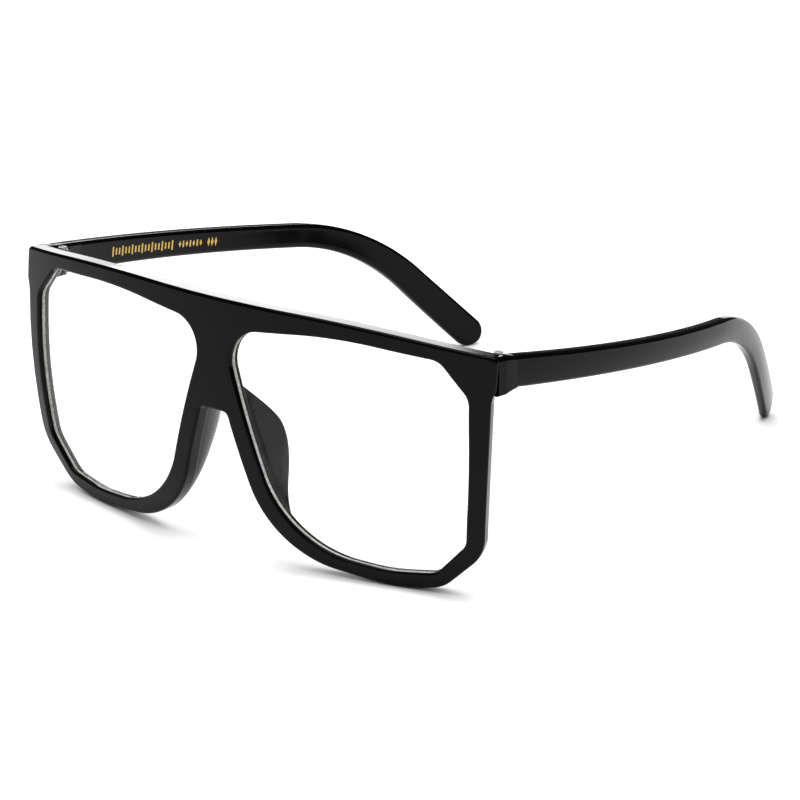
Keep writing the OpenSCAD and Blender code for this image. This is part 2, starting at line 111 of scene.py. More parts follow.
class FrontSettings(bpy.types.PropertyGroup):
    """Sizes of the front, its two openings and its endpieces"""
    lens_w: length("Opening width", "Width of one lens opening", 60.8)
    lens_h: length("Opening height", "Height of one lens opening", 55.7)
    bridge_w: length("Bridge gap", "Narrowest gap between the two openings", 10.8)
    nose_lean: turn("Nose lean", "Lean of an opening's nose side away from upright", 17.8)
    nose_r: length("Nose corner", "Radius of an opening's lower corner beside the nose", 26)
    brow_r: length("Brow corner", "Radius of an opening's upper corner beside the nose", 8)
    cut_w: length("Cut width", "Width of the slanted cut at the outer corners", 7.2)
    cut_h: length("Cut height", "Height of the slanted cut at the outer corners", 8.2)
    cut_r: length("Cut rounding", "Radius at both ends of a slanted cut", 5)
    crown: length("Crown", "Fall of an opening's upper edge from its crown to its ends", 2.1)
    rim_top: length("Rim above", "Height of the rim above an opening", 4.4)
    rim_side: length("Rim beside", "Width of the rim at the outer side", 4.7)
    rim_bottom: length("Rim below", "Height of the rim under an opening", 4.1)
    rim_nose: length("Rim at nose", "Width of the rim beside the nose", 5.1)
    brow_drop: length("Brow drop", "Fall of the brow line from its middle to its ends", 4.05)
    brow_flare: length("Brow flare", "Flare of the brow line past the rim's side", 1.2)
    bridge_h: length("Bridge height", "Height from the brow line to the nose arch", 27.2)
    rim_nose_r: length("Outer nose corner", "Radius of the outline's lower corner beside the nose", 26)
    front_t: length("Thickness", "Thickness of the front", 4.2)
    bow_r: length("Bow", "Radius of the bow of the front, seen from above", 190)
    chin_r: length("Chin curve", "Radius of the front's curve from brow to chin", 166)
    edge_r: length("Front edge", "Rounding along the front edges", 0.7)
    back_r: length("Back edge", "Rounding along the back edges", 0.9)
    lens_t: length("Lens thickness", "Thickness of a lens", 2)
    lens_set: length("Lens setback", "Depth of a lens behind the front face", 1.1)
    groove_d: length("Groove", "Depth of the groove that holds a lens", 0.9)
    lens_gap: length("Lens clearance", "Clearance between a lens and its groove", 0.04)
    endpiece_l: length("Endpiece", "How far an endpiece reaches back past the front's corner", 7)
    notch_h: length("Endpiece fillet", "How far the fillet under an endpiece comes down", 0.6)
    joint_gap: length("Joint gap", "Gap between an endpiece and its temple", 0.15)
    pocket_gap: length("Pocket clearance", "Clearance between a hinge plate and its pocket", 0.05)
    plate_l: length("Hinge plate", "Length of the hinge plate let into the front", 4.4)
    plate_t: length("Plate thickness", "Thickness of that plate", 0.9)
    black: colour("Black", "Body colour of the black plastic", "#040405")


class PadSettings(bpy.types.PropertyGroup):
    """Sizes of the nose pads"""
    pad_d: length("Stand-off", "How far a nose pad stands out behind the rim", 9.9)
    pad_flare: length("Flare", "How far a nose pad leans away from the nose", 1.6)
    pad_root: length("Root", "Thickness of a nose pad at its root", 3.3)
    pad_low: length("Lower end", "Height of a nose pad's lower end over the table", 8)
    pad_rise: length("Upper end", "Height of a nose pad's upper end over the nose arch", 7)
    pad_gap: length("Cement", "Thickness of the cement behind the rim", 0.05)


class TempleSettings(bpy.types.PropertyGroup):
    """Sizes of the temples"""
    temple_h: length("Hinge height", "Height of a temple at the hinge", 7.8)
    temple_waist: length("Waist", "Least height of a temple", 6.4)
    tip_r: length("Tip", "Radius of a temple's rounded tip", 4)
    temple_t: length("Thickness", "Thickness of a temple", 4)
    tip_t: length("Tip thickness", "Thickness of a temple at its tip", 3)
    tip_twist: turn("Twist", "Twist that turns the tip's outer face up a little", 8)
    temple_l: length("Straight part", "Length of the straight part of a temple", 92.3)
    ear_r: length("Ear bend", "Radius of the bend over the ear", 62.5)
    temple_slope: turn("Slope", "Downward slope of the straight part", 9.2)
    ear_slope: turn("Ear slope", "Downward slope behind the ear", 46.5)
    temple_splay: length("Splay", "How far a temple would run outwards if it stayed straight", 20.8)
    temple_curl: length("Curl", "Inward curve that has grown at the tip", 38.3)
    temple_hook: length("Hook", "How much further the curve has hooked in at the tip", 3.9)
    temple_edge: length("Edge", "Rounding of the long edges", 1.1)
    temple_crown: length("Crown", "Crown of the outer face", 0.25)
    wire_r: length("Core wire", "Radius of the core wire", 0.65)
    wire_gap: length("Wire clearance", "Clearance round the core wire", 0.05)
    wire_x: length("Wire depth", "Depth of the core wire behind the outer face", 1.75)
    wire_short: length("Wire end", "Length of temple behind the end of the core wire", 20)
    plate_l: length("Hinge plate", "Length of the hinge plate let into a temple", 8.5)
    plate_t: length("Plate thickness", "Thickness of a hinge plate", 0.9)


class FoilSettings(bpy.types.PropertyGroup):
    """Sizes of the gold ornament stamped inside one temple"""
    start: length("Start", "Distance of the ornament behind the temple's front end", 23.1)
    gap: length("Gap", "Gap between two groups of marks", 1.6)
    pitch: length("Pitch", "Distance from mark to mark", 1.3)
    tall: length("Tall mark", "Height of a tall mark", 2.5)
    low: length("Low mark", "Height of a low mark", 1.7)
    width: length("Width", "Width of a mark", 0.55)
    lift: length("Lift", "Thickness of the foil", 0.02)
    gold: colour("Gold", "Colour of the foil", "#dcb964")


class StageSettings(bpy.types.PropertyGroup):
    """Camera, floor and lamps"""
    azimuth: turn("Azimuth", "The camera's place round the glasses, from straight in front", 37.6571)
    elevation: turn("Elevation", "The camera's height as an angle", 19.0515)
    roll: turn("Roll", "The camera's turn about its own line of sight", 0.0918)
    distance: length("Distance", "From the camera to the point that it looks at", 982.296)
    lens: FloatProperty(name="Focal length", description="The camera's focal length in millimetres",
                        default=179.353, min=20.0)
    target_x: length("Target across", "Where the camera looks, across", 9.0753)
    target_y: length("Target behind", "Where the camera looks, behind the front's foremost point", 60.58)
    target_z: length("Target up", "Where the camera looks, up", 24.7442)
    world: level("World", "Level of the soft light from all round", 0.06)
    top: level("Top lamp", "Irradiance of the soft lamp overhead", 1.65)
    top_spread: turn("Top lamp's spread", "Angle that the lamp overhead fills", 56)
    fill: level("Fill", "Irradiance of the light from the whole room", 1.5)
    fill_spread: turn("Fill's spread", "Angle that the fill comes from", 160)
    back: level("Back lamp", "Power in watts of the lamp behind", 3.6)
    back_azimuth: turn("Back lamp's azimuth", "Its place round the brow, from straight in front", -142.5)
    back_elevation: turn("Back lamp's elevation", "Its height as an angle over the brow", 19)
    low: level("Low lamp", "Power in watts of the low lamp behind", 1.0)
    low_azimuth: turn("Low lamp's azimuth", "Its place round the brow, from straight in front", -135)
    low_elevation: turn("Low lamp's elevation", "Its height as an angle over the brow", 8.5)
    lamp_far: length("Lamp distance", "From the brow to the lamps behind", 1600)
    lift: level("Paper lift", "How much brighter the paper is where it is seen as background", 0.4)
    # Within this reach an ambient occlusion node takes the paper's lift away: a painted contact shadow
    touch: length("Contact", "How near something has to come to take that lift away", 11)
    floor: colour("Floor", "Colour of the floor", "#fcfcfc")


# The shape of the front, in millimetres, from the same rows as the solid part

def unit(v):
    """Directions of length 1"""
    return v / np.linalg.norm(v, axis=-1, keepdims=True)


def fillet(a, b, c, radius, steps):
    """Points of the arc that rounds corner b between a and c"""
    a, b, c = (np.array(p, float) for p in (a, b, c))
    u, v = unit(a - b), unit(c - b)
    half = math.acos(float(u @ v)) / 2
    middle = b + unit(u + v) * radius / math.sin(half)
    start = b + u * radius / math.tan(half) - middle
    way = -1 if u[0] * v[1] - u[1] * v[0] > 0 else 1
    points = []
    for k in range(steps + 1):
        angle = way * (math.pi - 2 * half) * k / steps
        cos, sin = math.cos(angle), math.sin(angle)
        points.append(middle + np.array([start[0] * cos - start[1] * sin, start[0] * sin + start[1] * cos]))
    return points


def outline(rows, fine):
    """A closed outline from rows of corner, radius, steps of its arc and steps of the side after it"""
    arcs = []
    for i, (corner, radius, steps, _) in enumerate(rows):
        before, after = rows[i - 1][0], rows[(i + 1) % len(rows)][0]
        arcs.append(fillet(before, corner, after, radius, steps * fine) if radius
                    else [np.array(corner, float)])
    points = []
    for i, arc in enumerate(arcs):
        start, end, steps = arc[-1], arcs[(i + 1) % len(arcs)][0], rows[i][3] * fine
        points += arc + [start + (end - start) * k / steps for k in range(1, steps)]
    return np.array(points)


def outwards(points):
    """Outward directions of a closed outline at its points"""
    tangent = unit(unit(np.roll(points, -1, 0) - points) + unit(points - np.roll(points, 1, 0)))
    return np.stack([-tangent[:, 1], tangent[:, 0]], 1)


class FrontShape:
    """The driving lines of the front: outlines, bow and joint places"""
    FINE = 4           # steps here for one step of the solid part
    OFFSET = 6         # the opening is turned so that its brow meets the middle
    MIDDLE_STEPS = 9   # steps from the nose arch up the middle to the brow
    FOREMOST = 0.64    # share of the front's height at which it stands foremost
    CORNER = 2.8       # how far an opening's sharp upper corner lies past its side and under its top
    JOINT_OUT = 0.4    # how far the joint's outer face lies outside the brow's end
    JOINT_DROP = 0.95  # how far the joint's top lies under the brow's end

    def __init__(self, s):
        self.s = s
        self.open_in = s.bridge_w / 2
        self.open_out = self.open_in + s.lens_w
        self.open_low = s.rim_bottom
        self.open_top = self.open_low + s.lens_h
        self.front_h = self.open_top + s.rim_top
        self.side_x = self.open_out + s.rim_side
        self.half_w = self.side_x + s.brow_flare
        self.arch_z = self.front_h - s.bridge_h
        self.level_z = self.FOREMOST * self.front_h
        self.brow_z = self.front_h - s.brow_drop
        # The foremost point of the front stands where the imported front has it
        self.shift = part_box("frame_front")[0][1] * MM
        opening = outline(self.opening_rows(), self.FINE)
        self.outer = outline(self.half_rows(), self.FINE)
        self.inner = np.roll(opening, -self.OFFSET * self.FINE, 0)
        self.inner_out = outwards(self.inner)
        self.arch = len(self.outer) - self.MIDDLE_STEPS * self.FINE
        normals = outwards(self.outer)
        normals[0], normals[self.arch], normals[self.arch + 1:] = (0, 1), (0, -1), 0
        self.outer_out = normals
        self.corner_y = self.bow(self.half_w, self.brow_z, 0)[1]
        self.joint_y = self.corner_y + s.endpiece_l
        self.joint_x = self.half_w + self.JOINT_OUT

    def joint_z(self, temple):
        """Lower end, middle and upper end of the joint between endpiece and temple"""
        top = self.brow_z - self.JOINT_DROP
        return top - temple.temple_h, top - temple.temple_h / 2, top

    def nose_x(self, z, out=0.0):
        """How far the nose side of an opening lies from the middle at a height, less out"""
        rise = self.open_top - self.CORNER - z
        return self.open_in - self.CORNER - out + math.tan(self.s.nose_lean) * rise

    def opening_rows(self):
        """An opening on the wearer's left, from its upper nose corner round by the outer side"""
        s, x0, x1, z0, z1 = self.s, self.open_in, self.open_out, self.open_low, self.open_top
        return [
            [(x0 - self.CORNER, z1 - self.CORNER), s.brow_r, 6, 4],
            [(x0 + 0.46 * s.lens_w, z1 + 0.5), 110, 5, 3],
            [(x1 - 0.2 - s.cut_w, z1 + 0.4 - s.crown), s.cut_r, 2, 1],
            [(x1 - 0.2, z1 + 0.4 - s.crown - s.cut_h), s.cut_r, 2, 3],
            [(x1 + 0.15, z0 + 0.5 * s.lens_h), 150, 1, 3],
            [(x1 - 1.75, z0 + 1.1 + s.cut_h), s.cut_r, 3, 1],
            [(x1 - 2.3 - s.cut_w, z0 + 1.05), s.cut_r, 3, 1],
            [(x0 + 0.65 * s.lens_w, z0 - 0.25), 45, 2, 2],
            [(self.nose_x(z0 + 2.15), z0 + 2.15), s.nose_r, 8, 11],
        ]

    def half_rows(self):
        """The left half of the outline, from the middle of the brow round to the middle of the nose arch"""
        s, side, low, wide, high = self.s, self.side_x, self.open_low, self.half_w, self.front_h
        return [
            [(0, high), 0, 0, 4],
            [(0.527 * wide, high), 300, 5, 3],
            [(wide, high - s.brow_drop), 1.3, 5, 1],
            [(side + 0.88 * s.brow_flare, 0.816 * high), 0, 0, 1],
            [(side + 0.36 * s.brow_flare, 0.79 * high), 0, 0, 1],
            [(side + 0.1 * s.brow_flare, 0.765 * high), 0, 0, 1],
            [(side, 0.547 * high), 300, 1, 2],
            [(side - 2.4, low + s.cut_h - 0.8), 11, 3, 1],
            [(side - 13, 1.5), 10, 3, 1],
            [(0.655 * wide, -0.42), 36, 2, 2],
            [(self.nose_x(low - 0.4, s.rim_nose), low - 0.4), s.rim_nose_r, 8, 3],
            [(self.nose_x(self.arch_z - 0.2, s.rim_nose), self.arch_z - 0.2), 1.6, 3, 2],
            [(0, self.arch_z), 0, 0, self.MIDDLE_STEPS],
        ]

    def bow(self, x, z, depth):
        """A place on the front: x along the bowed face, z up, depth behind the face"""
        angle = math.asin(x / self.s.bow_r)
        radius = self.s.bow_r - depth
        back = self.s.bow_r - radius * math.cos(angle) + (z - self.level_z) ** 2 / (2 * self.s.chin_r)
        return radius * math.sin(angle), back + self.shift, z

    def rim_ring(self, i):
        """The section of the rim between outline and opening at station i"""
        s, quarter, across = self.s, 6, 5
        p, n, q, m = self.outer[i], self.outer_out[i], self.inner[i], self.inner_out[i]
        r, b, t = s.edge_r, s.back_r, s.front_t
        angles = [k * math.pi / 2 / quarter for k in range(quarter + 1)]

        def edges(at, way):
            """The rounded front and back edges at a side of the rim"""
            return ([(at + way * r * (1 - math.sin(a)), r * (1 - math.cos(a))) for a in angles],
                    [(at + way * b * (1 - math.cos(a)), t - b * (1 - math.sin(a))) for a in angles])

        def face(start, end, depth):
            """Steps across the face between two edges"""
            return [(start + (end - start) * k / across, depth) for k in range(1, across)]

        (outer_front, outer_back), (inner_front, inner_back) = edges(p, -n), edges(q, m)
        rows = outer_front + outer_back + face(p - n * b, q + m * b, t) + inner_back[::-1]
        near, far = s.lens_set, s.lens_set + s.lens_t
        rows += [(q, far), (q + m * s.groove_d, (near + far) / 2), (q, near)]
        rows += inner_front[::-1] + face(q + m * r, p - n * r, 0)
        return [self.bow(point[0], point[1], depth) for point, depth in rows]

    def lens_ring(self, factor, grow, depth):
        """The opening's outline, grown, shrunk towards the lens's middle and set at a depth"""
        middle = np.array([self.open_in + self.s.lens_w / 2, self.open_low + self.s.lens_h / 2])
        points = middle + (self.inner + self.inner_out * grow - middle) * factor
        return [self.bow(x, z, depth) for x, z in points]

    def endpiece_rings(self, temple):
        """Sections of the block that carries the hinge, from inside the rim back to the joint"""
        s = self.s
        low, _, top = self.joint_z(temple)
        start = np.array(self.bow(self.half_w, self.brow_z, s.edge_r))
        back = self.bow(self.half_w, low, s.front_t)[1]
        end = self.joint_y
        # The upper outer edge is rounded more, and the sections crowd where the fillet turns
        r, c, sections, quarter = 1.2, 0.5, 24, 6
        rings = []
        for y in [start[1]] + [back + (end - back) * (k / sections) ** 1.3 for k in range(sections + 1)]:
            k, f = (y - start[1]) / (end - start[1]), max(0.0, (y - back) / (end - back))
            x1 = start[0] + (self.joint_x - start[0]) * math.sqrt(k)
            z0 = low - s.notch_h * (1 - f) ** 1.7
            z1 = self.brow_z - 0.02 + (top - self.brow_z) * k * k
            x0, ring = self.joint_x - temple.temple_t, []
            for cx, cz, turned, radius in ((x1 - r, z1 - r, 0, r), (x0 + c, z1 - c, 1, c),
                                           (x0 + c, z0 + c, 2, c), (x1 - c, z0 + c, 3, c)):
                for step in range(quarter + 1):
                    a = math.pi / 2 * (turned + step / quarter)
                    ring.append((cx + radius * math.cos(a), y, cz + radius * math.sin(a)))
            rings.append(ring)
        return rings


class TempleShape:
    """The driving lines of the temple on the wearer's left"""
    PLATE_FROM = 0.9  # where the hinge plate starts behind the joint
    PLATE_LESS = 0.2  # how much less it reaches up and down than the front's plate

    def __init__(self, s, front):
        self.s = s
        self.front = front
        self.butt = np.array([front.joint_y + front.s.joint_gap, front.joint_z(s)[1]])
        self.bend_start = self.butt + s.temple_l * self.heading(s.temple_slope)
        self.bend_mid = self.bend_start - s.ear_r * self.upright(s.temple_slope)
        self.bend_l = s.ear_r * (s.ear_slope - s.temple_slope)
        self.bend_end = self.on_bend(s.ear_slope)
        self.ear_l = (self.bend_end[1] - s.tip_r) / math.sin(s.ear_slope)
        self.round_at = s.temple_l + self.bend_l + self.ear_l
        self.run = (self.bend_end + self.ear_l * self.heading(s.ear_slope))[0] - self.butt[0]

    @staticmethod
    def heading(a):
        """The way backwards along the temple where it slopes by an angle"""
        return np.array([math.cos(a), -math.sin(a)])

    @staticmethod
    def upright(a):
        """The way up across the temple where it slopes by an angle"""
        return np.array([math.sin(a), math.cos(a)])

    def on_bend(self, a):
        """The middle line's place on the bend where it slopes by an angle"""
        return self.bend_mid + self.s.ear_r * self.upright(a)

    def line(self, at):
        """The middle line at a length along the temple: its place (y, z) and slope"""
        s = self.s
        if at <= s.temple_l:
            return self.butt + at * self.heading(s.temple_slope), s.temple_slope
        if at <= s.temple_l + self.bend_l:
            a = s.temple_slope + (at - s.temple_l) / s.ear_r
            return self.on_bend(a), a
        return self.bend_end + (at - s.temple_l - self.bend_l) * self.heading(s.ear_slope), s.ear_slope

    def half_height(self, at):
        """Half the temple's height at a length along it"""
        s = self.s
        waist = s.temple_waist / 2
        if at < s.temple_l:
            return waist + (s.temple_h / 2 - waist) * (1 - at / s.temple_l) ** 2
        k = self.ear_share(at)
        return waist + (s.tip_r - waist) * k * k * (3 - 2 * k)

    def ear_share(self, at):
        """Share of the way from the bend to the tip"""
        return min(1.0, max(0.0, (at - self.s.temple_l) / (self.round_at - self.s.temple_l)))

    def thick_at(self, at):
        """The temple's thickness at a length along it"""
        return self.s.temple_t + (self.s.tip_t - self.s.temple_t) * self.ear_share(at)

    def outer_x(self, y):
        """How far out the temple's outer face lies at a depth"""
        s, k = self.s, (y - self.butt[0]) / self.run
        return self.front.joint_x + s.temple_splay * k - s.temple_curl * k * k - s.temple_hook * k ** 3

    def ring(self, at, h, thick, square=False):
        """A section at a length along the temple, of half height h and the given thickness"""
        s, steps = self.s, 6
        middle, slope = self.line(at)
        up = np.array([0.0, 1.0]) if square else self.upright(slope)
        # The rounding shrinks where the section gets small
        e = min(s.temple_edge, h * 0.6, thick * 0.42 - s.temple_crown / 2)
        inset = (s.temple_t - thick) / 2
        twist = math.tan(s.tip_twist) * self.ear_share(at)
        angles = [k * math.pi / 2 / steps for k in range(steps + 1)]
        half = [((h - e) * k / 4, s.temple_crown * (k / 4) ** 2) for k in range(4)]
        half += [(h - e + e * math.sin(a), s.temple_crown + e - e * math.cos(a)) for a in angles]
        half += [(h - e + e * math.cos(a), thick - e + e * math.sin(a)) for a in angles]
        half += [((h - e) * k / 4, thick) for k in (3, 2, 1, 0)]
        loop = half + [(-high, deep) for high, deep in reversed(half[1:-1])]
        points = []
        for high, deep in loop:
            y, z = middle + high * up
            points.append((self.outer_x(y) - inset - deep + twist * high, y, z))
        return points

    def body_rings(self):
        """Sections from the joint over the bend to the rounded tip"""
        s = self.s
        ats = [s.temple_l * k / 36 for k in range(36)]
        ats += [s.temple_l + self.bend_l * k / 56 for k in range(56)]
        ats += [s.temple_l + self.bend_l + self.ear_l * k / 14 for k in range(15)]
        rings = [self.ring(at, self.half_height(at), self.thick_at(at), at == 0) for at in ats]
        # The tip is rounded in height like a half circle, and thins as it closes
        for degrees in (8, 15, 22, 30, 38, 45, 52, 60, 66, 72, 78, 83, 87):
            a = math.radians(degrees)
            thick = s.tip_t * (0.45 + 0.55 * math.sqrt(math.cos(a)))
            rings.append(self.ring(self.round_at + s.tip_r * math.sin(a), s.tip_r * math.cos(a), thick))
        return rings

    def wire_rings(self, radius):
        """The channel of the core wire"""
        s, rings, sections, sides = self.s, [], 60, 16
        end = self.round_at - s.wire_short
        for k in range(sections + 1):
            middle, slope = self.line(end * k / sections)
            ring = []
            for i in range(sides):
                a = -2 * math.pi * i / sides
                y, z = middle + radius * math.sin(a) * self.upright(slope)
                x = self.outer_x(y) - s.wire_x + radius * math.cos(a)
                ring.append((x, self.butt[0] - 1 if k == 0 else y, z))
            rings.append(ring)
        return rings

    def plate_box(self):
        """Corners of the pocket for the hinge plate in the inner face, as a ring pair"""
        s, gap = self.s, self.front.s.pocket_gap
        (y0, z0), _ = self.line(self.PLATE_FROM)
        far, _ = self.line(self.PLATE_FROM + s.plate_l)
        x0, x1 = self.outer_x(y0) - s.temple_t, self.outer_x(far[0]) - s.temple_t
        lean = math.atan2(x1 - x0, far[0] - y0)
        turn_by = Matrix.Rotation(-lean, 4, "Z") @ Matrix.Rotation(-s.temple_slope, 4, "X")
        half = packed_plate()[1] - self.PLATE_LESS + gap
        rings = []
        for y in (-gap, s.plate_l + gap):
            corners = ((-PROUD, -half), (s.plate_t + gap, -half), (s.plate_t + gap, half), (-PROUD, half))
            rings.append([turn_by @ Vector((x, y, z)) + Vector((x0, y0, z0)) for x, z in corners])
        return rings


def packed_plate():
    """The middle and half the height of the front's hinge plate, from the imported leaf"""
    low, high = (corner[2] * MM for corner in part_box("hinge_front_leaf_left"))
    return (low + high) / 2, (high - low) / 2


# Meshes

def mesh_object(name, points, faces, side=1):
    """An object from points in millimetres; side -1 mirrors it to the wearer's right"""
    mesh = bpy.data.meshes.new(name)
    mesh.from_pydata([(side * x / MM, y / MM, z / MM) for x, y, z in points], [], faces)
    mesh.update()
    obj = bpy.data.objects.new(name, mesh)
    bpy.context.scene.collection.objects.link(obj)
    return obj


def tube_faces(rings, count, closed=False):
    """The faces between a number of rings of as many points each"""
    faces = []
    for i in range(rings if closed else rings - 1):
        for j in range(count):
            a, b = i * count + j, i * count + (j + 1) % count
            c = ((i + 1) % rings) * count
            faces.append((a, b, c + (j + 1) % count, c + j))
    return faces


def tube(name, rings, side=1):
    """A closed solid from a row of rings"""
    count, n = len(rings[0]), len(rings)
    faces = tube_faces(n, count) + [tuple(range(count))[::-1], tuple(range((n - 1) * count, n * count))]
    return mesh_object(name, [p for ring in rings for p in ring], faces, side)


def clean(obj):
    """Joins double points and turns all faces outwards"""
    work = bmesh.new()
    work.from_mesh(obj.data)
    bmesh.ops.remove_doubles(work, verts=work.verts, dist=TINY)
    bmesh.ops.dissolve_degenerate(work, edges=work.edges, dist=TINY / 10)
    bmesh.ops.recalc_face_normals(work, faces=work.faces)
    work.to_mesh(obj.data)
    work.free()


def combine(obj, other, operation):
    """Cuts another solid out of this one, or joins it on"""
    clean(obj)
    clean(other)
    mod = obj.modifiers.new("combine", "BOOLEAN")
    mod.operation, mod.object, mod.solver = operation, other, "EXACT"
    settled = bpy.data.meshes.new_from_object(obj.evaluated_get(bpy.context.evaluated_depsgraph_get()))
    obj.modifiers.clear()
    old, obj.data = obj.data, settled
    bpy.data.meshes.remove(old)
    bpy.data.objects.remove(other)
    # A failed cut leaves nothing, or next to nothing
    if len(settled.polygons) < 12:
        raise RuntimeError("%s came out empty" % obj.name)


def finish_surface(obj, crease=32.0):
    """Smooth shading with sharp lines where faces meet at a real edge"""
    clean(obj)
    obj.data.polygons.foreach_set("use_smooth", [True] * len(obj.data.polygons))
    obj.data.set_sharp_from_angle(angle=math.radians(crease))
    weighted = obj.modifiers.new("even shading", "WEIGHTED_NORMAL")
    weighted.keep_sharp = True
    weighted.weight = 100
    return obj


def settle(obj, body, node, material):
    """Puts a piece on its body in place of its CAD node, with its finish"""
    obj.data.materials.clear()
    obj.data.materials.append(material)
    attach(obj, body)
    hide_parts(node)


def curve_through(grid, steps, axis):
    """A grid of points refined along one axis by smooth curves through all of them"""
    grid = np.moveaxis(np.asarray(grid, float), axis, 0)
    ends = np.concatenate([2 * grid[:1] - grid[1:2], grid, 2 * grid[-1:] - grid[-2:-1]])
    out = []
    for i in range(1, len(ends) - 2):
        a, b, c, d = ends[i - 1], ends[i], ends[i + 1], ends[i + 2]
        for k in range(steps):
            t = k / steps
            out.append(0.5 * (2 * b + (c - a) * t + (2 * a - 5 * b + 4 * c - d) * t * t
                              + (3 * b - a - 3 * c + d) * t ** 3))
    out.append(grid[-1])
    return np.moveaxis(np.array(out), 0, axis)


# Finishes

def add_node(tree, kind, inputs=None, **settings):
    """Adds a node: settings name its properties, and inputs fill or link its sockets"""
    node = tree.nodes.new("ShaderNode" + kind)
    for key, value in settings.items():
        setattr(node, key, value)
    for key, value in (inputs or {}).items():
        if isinstance(value, bpy.types.NodeSocket):
            tree.links.new(value, node.inputs[key])
        else:
            node.inputs[key].default_value = value
    return node


def pattern(tree, size_mm, detail, stretch=(1, 1, 1)):
    """Noise whose features are about size_mm across, in the object's own coordinates"""
    place = add_node(tree, "TexCoord").outputs["Object"]
    scaled = add_node(tree, "Mapping", {"Vector": place, "Scale": stretch}).outputs[0]
    return add_node(tree, "TexNoise", {
        "Vector": scaled, "Scale": MM / size_mm, "Detail": detail, "Roughness": 0.5}).outputs[0]


def finished(name, grain, colours, rough=None, relief=0.0, waves=None, reach=None, **sockets):
    """A Principled material. Its colour follows one pattern, the grain, between two colours, and its
    roughness does too where it is given. Relief in millimetres follows the waves, or else the grain.
    A reach widens the colour's contrast, and the other sockets get plain values"""
    material = bpy.data.materials.new(name)
    material.use_nodes = True
    tree = material.node_tree
    tree.nodes.clear()
    drawn = factor = pattern(tree, *grain)
    if reach:
        factor = add_node(tree, "MapRange", {0: drawn, 3: reach[0], 4: reach[1]}).outputs[0]
    low, high = (linear(c) if isinstance(c, str) else c for c in colours)
    mixed = add_node(tree, "Mix", {0: factor, 6: low, 7: high}, data_type="RGBA")
    sockets["Base Color"] = mixed.outputs[2]
    if rough:
        sockets["Roughness"] = add_node(tree, "MapRange", {0: drawn, 3: rough[0], 4: rough[1]}).outputs[0]
    if relief:
        height = pattern(tree, *waves) if waves else drawn
        raised = add_node(tree, "Bump", {"Height": height, "Distance": relief / MM, "Strength": 1.0})
        sockets["Normal"] = raised.outputs[0]
    shader = add_node(tree, "BsdfPrincipled", sockets)
    add_node(tree, "OutputMaterial", {0: shader.outputs[0]})
    return material


def shaded(rgba, factor):
    """A colour made darker or lighter"""
    return [min(1.0, c * factor) for c in rgba[:3]] + [1.0]


def polished_acetate(name, base):
    """Cellulose acetate sheet, milled and barrel polished: deep black with a wet gloss, and flat
    faces that the barrel leaves a little wavy, so that reflections swim on them"""
    return finished(name, (5.0, 2.0), (base, shaded(base, 1.3)), rough=(0.06, 0.13), relief=0.02,
                    waves=(9.0, 1.0), **{"IOR": 1.49, "Specular IOR Level": 0.1})


def cast_lens(name):
    """Clear cast lens resin with an anti-reflection coat: hardly any tint, and so little mirror that
    the pads behind stay black. The coat is given as a lower IOR than the resin's 1.5"""
    return finished(name, (25.0, 0.0), ("#fdfefe", "#ffffff"),
                    **{"IOR": 1.22, "Transmission Weight": 1.0, "Roughness": 0.0})


def ground_bevel(name):
    """The lens's edge, ground on a wheel and left unpolished: a cream white, frosted and slightly
    cloudy line inside the rim. The wheel's grit is too fine to show, so it is drawn 0.7 mm coarse"""
    return finished(name, (0.7, 5.0), ("#bab6a8", "#ffffff"), relief=0.01, reach=(-0.7, 1.7),
                    **{"IOR": 1.498, "Roughness": 0.6})


def lacquered_leaf(name):
    """Nickel silver stamped and black lacquered: satin black, so that the plates hardly show in the
    black plastic. The stamping's grain is drawn 0.25 mm coarse, as the real one is too fine to show"""
    return finished(name, (0.25, 3.0, (1, 1, 6)), ("#08080a", "#101113"), rough=(0.22, 0.36),
                    relief=0.004, **{"IOR": 1.5, "Specular IOR Level": 0.14})


def turned_steel(name):
    """Stainless steel turned on a lathe, left satin: a pale grey speck at the hinge. The tool's rings
    are drawn 0.2 mm coarse, as the real ones are too fine to show"""
    return finished(name, (0.2, 2.0, (1, 1, 5)), ("#8c8f92", "#aaacae"), rough=(0.42, 0.58), Metallic=1.0)


def drawn_brass(name):
    """Drawn brass wire: a warm yellow metal with long draw marks, 0.3 mm coarse so that they can show"""
    return finished(name, (0.3, 2.0, (4, 1, 4)), ("#b58f45", "#d3ae62"), rough=(0.22, 0.36), Metallic=1.0)


def hot_foil(name, gold):
    """Gold foil pressed on with a hot die: bright metal that breaks up a little on the plastic"""
    return finished(name, (0.25, 3.0), (shaded(gold, 0.62), gold), rough=(0.25, 0.5), relief=0.01,
                    Metallic=1.0)


def paper_sweep(name, white, lift, touch):
    """Matt white paper: its level lifts where it is seen as background. An ambient occlusion node takes that
    lift away where something comes within the last argument's reach in metres, which paints a darker contact
    shadow beside the glasses"""
    material = finished(name, (3.0, 2.0), (shaded(white, 0.995), white), **{
        "Roughness": 1.0, "Specular IOR Level": 0.0, "Emission Color": linear("#ffffff")})
    tree = material.node_tree
    # Ambient occlusion near the glasses, squared below, takes the lift away and paints a darker contact
    # shadow on the paper
    clear = add_node(tree, "AmbientOcclusion", {"Distance": touch}, samples=12).outputs["AO"]
    path = add_node(tree, "LightPath").outputs
    glow = path["Is Camera Ray"]
    for operation, other in (("MAXIMUM", path["Is Glossy Ray"]), ("MAXIMUM", path["Is Transmission Ray"]),
                             ("MULTIPLY", clear), ("MULTIPLY", clear), ("MULTIPLY", lift)):
        glow = add_node(tree, "Math", {0: glow, 1: other}, operation=operation).outputs[0]
    tree.links.new(glow, tree.nodes["Principled BSDF"].inputs["Emission Strength"])
    return material


def kept_material(maker, name, *args):
    """A finish is made once, and used by every piece that has it"""
    return bpy.data.materials.get(name) or maker(name, *args)


def acetate():
    """The black plastic's finish, in the colour of the front's settings"""
    base = Sizes(bpy.context.scene.glasses_front).black
    return kept_material(polished_acetate, "black_acetate_polished", base)


